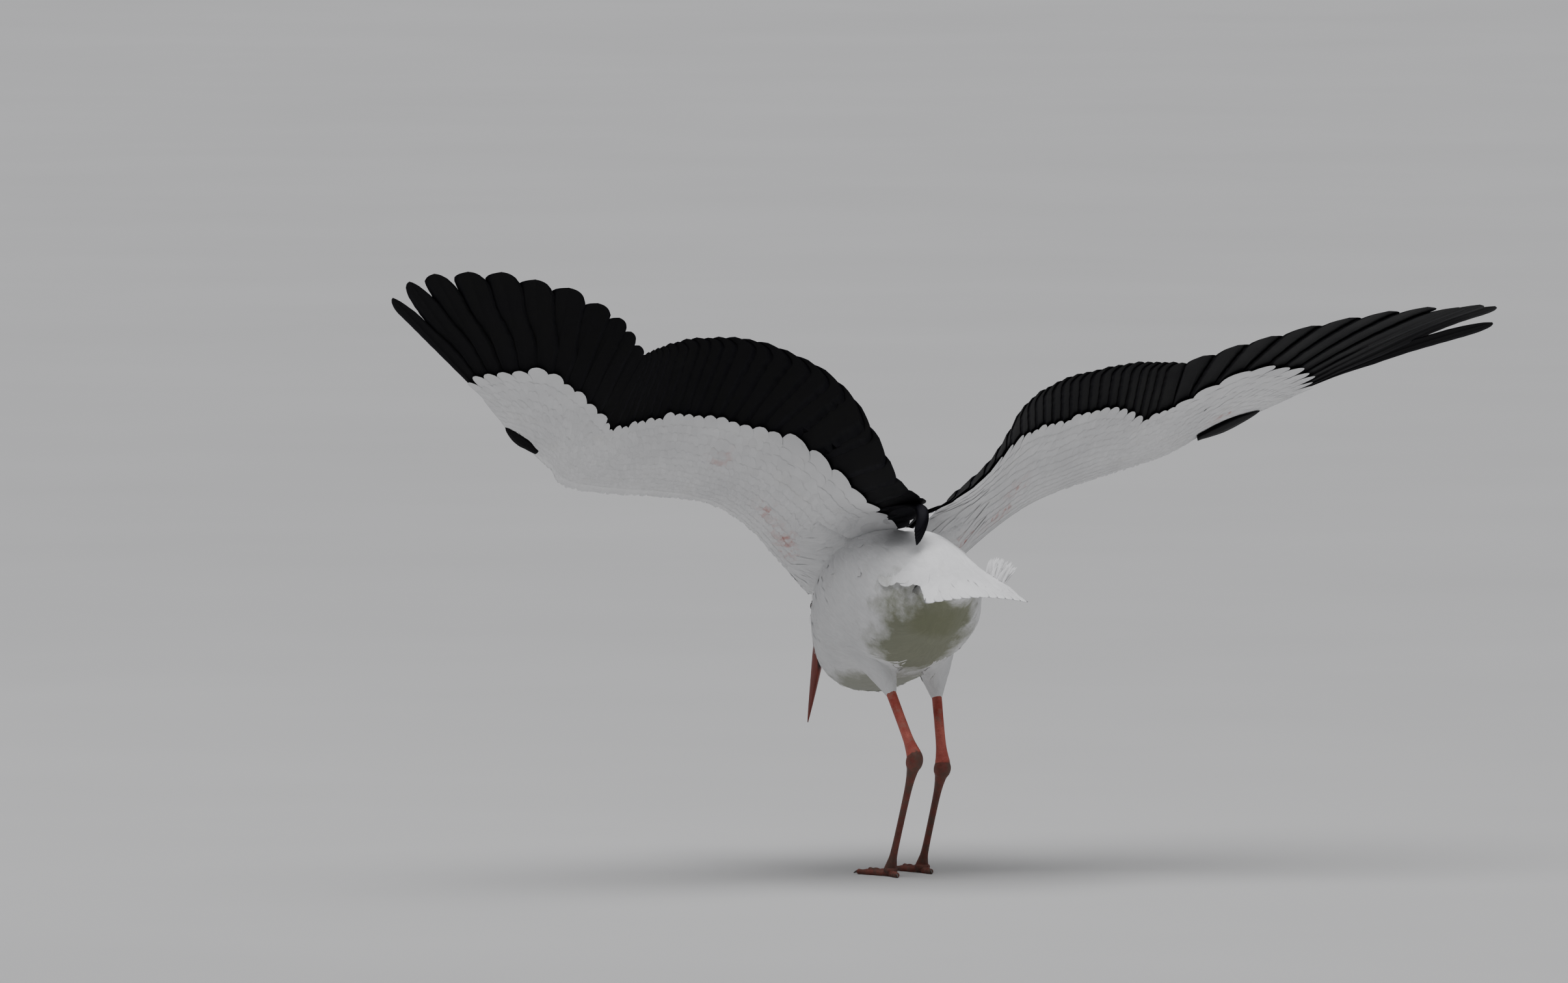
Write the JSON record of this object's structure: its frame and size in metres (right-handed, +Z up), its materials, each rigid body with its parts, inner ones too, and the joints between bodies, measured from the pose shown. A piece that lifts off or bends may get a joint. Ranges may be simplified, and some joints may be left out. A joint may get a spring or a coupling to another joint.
{
  "type": "white stork",
  "caption": "White stork standing life size, bowed forward with its bill to the ground and both wings raised and spread wide.",
  "frame": {"origin": "on the floor, at the middle of the whole bird's box seen from above", "axes": "+X is the bird's left, along the spread wings; the bird faces -Y and its tail points to +Y; +Z is up"},
  "size_m": [1.775, 0.7318, 0.9536],
  "materials": {
    "white_feather": "soft white feathers",
    "black_feather": "black flight feathers with a slight purple gloss",
    "bill": "satin red horn",
    "bare_leg": "dry scaled red skin",
    "muddy_leg": "dry scaled skin, brown with mud",
    "eye": "wet dark brown"
  },
  "bodies": {
    "root": {"trunk": "white_feather", "neck_lower": "white_feather", "neck_upper": "white_feather", "head": "white_feather", "tail_feathers": "white_feather", "bill_upper": "bill", "bill_lower": "bill", "eye_left": "eye", "eye_right": "eye", "wing_left_upper_arm": "white_feather", "wing_left_forearm": "white_feather", "wing_left_hand": "white_feather", "wing_left_tertials": "black_feather", "wing_left_secondaries": "black_feather", "wing_left_primaries": "black_feather", "wing_left_alula": "black_feather", "wing_right_upper_arm": "white_feather", "wing_right_forearm": "white_feather", "wing_right_hand": "white_feather", "wing_right_tertials": "black_feather", "wing_right_secondaries": "black_feather", "wing_right_primaries": "black_feather", "wing_right_alula": "black_feather", "leg_left_thigh": "white_feather", "leg_left_shank": "bare_leg", "leg_left_tarsus": "muddy_leg", "leg_left_foot": "muddy_leg", "leg_right_thigh": "white_feather", "leg_right_shank": "bare_leg", "leg_right_tarsus": "muddy_leg", "leg_right_foot": "muddy_leg"}
  },
  "joints": []
}
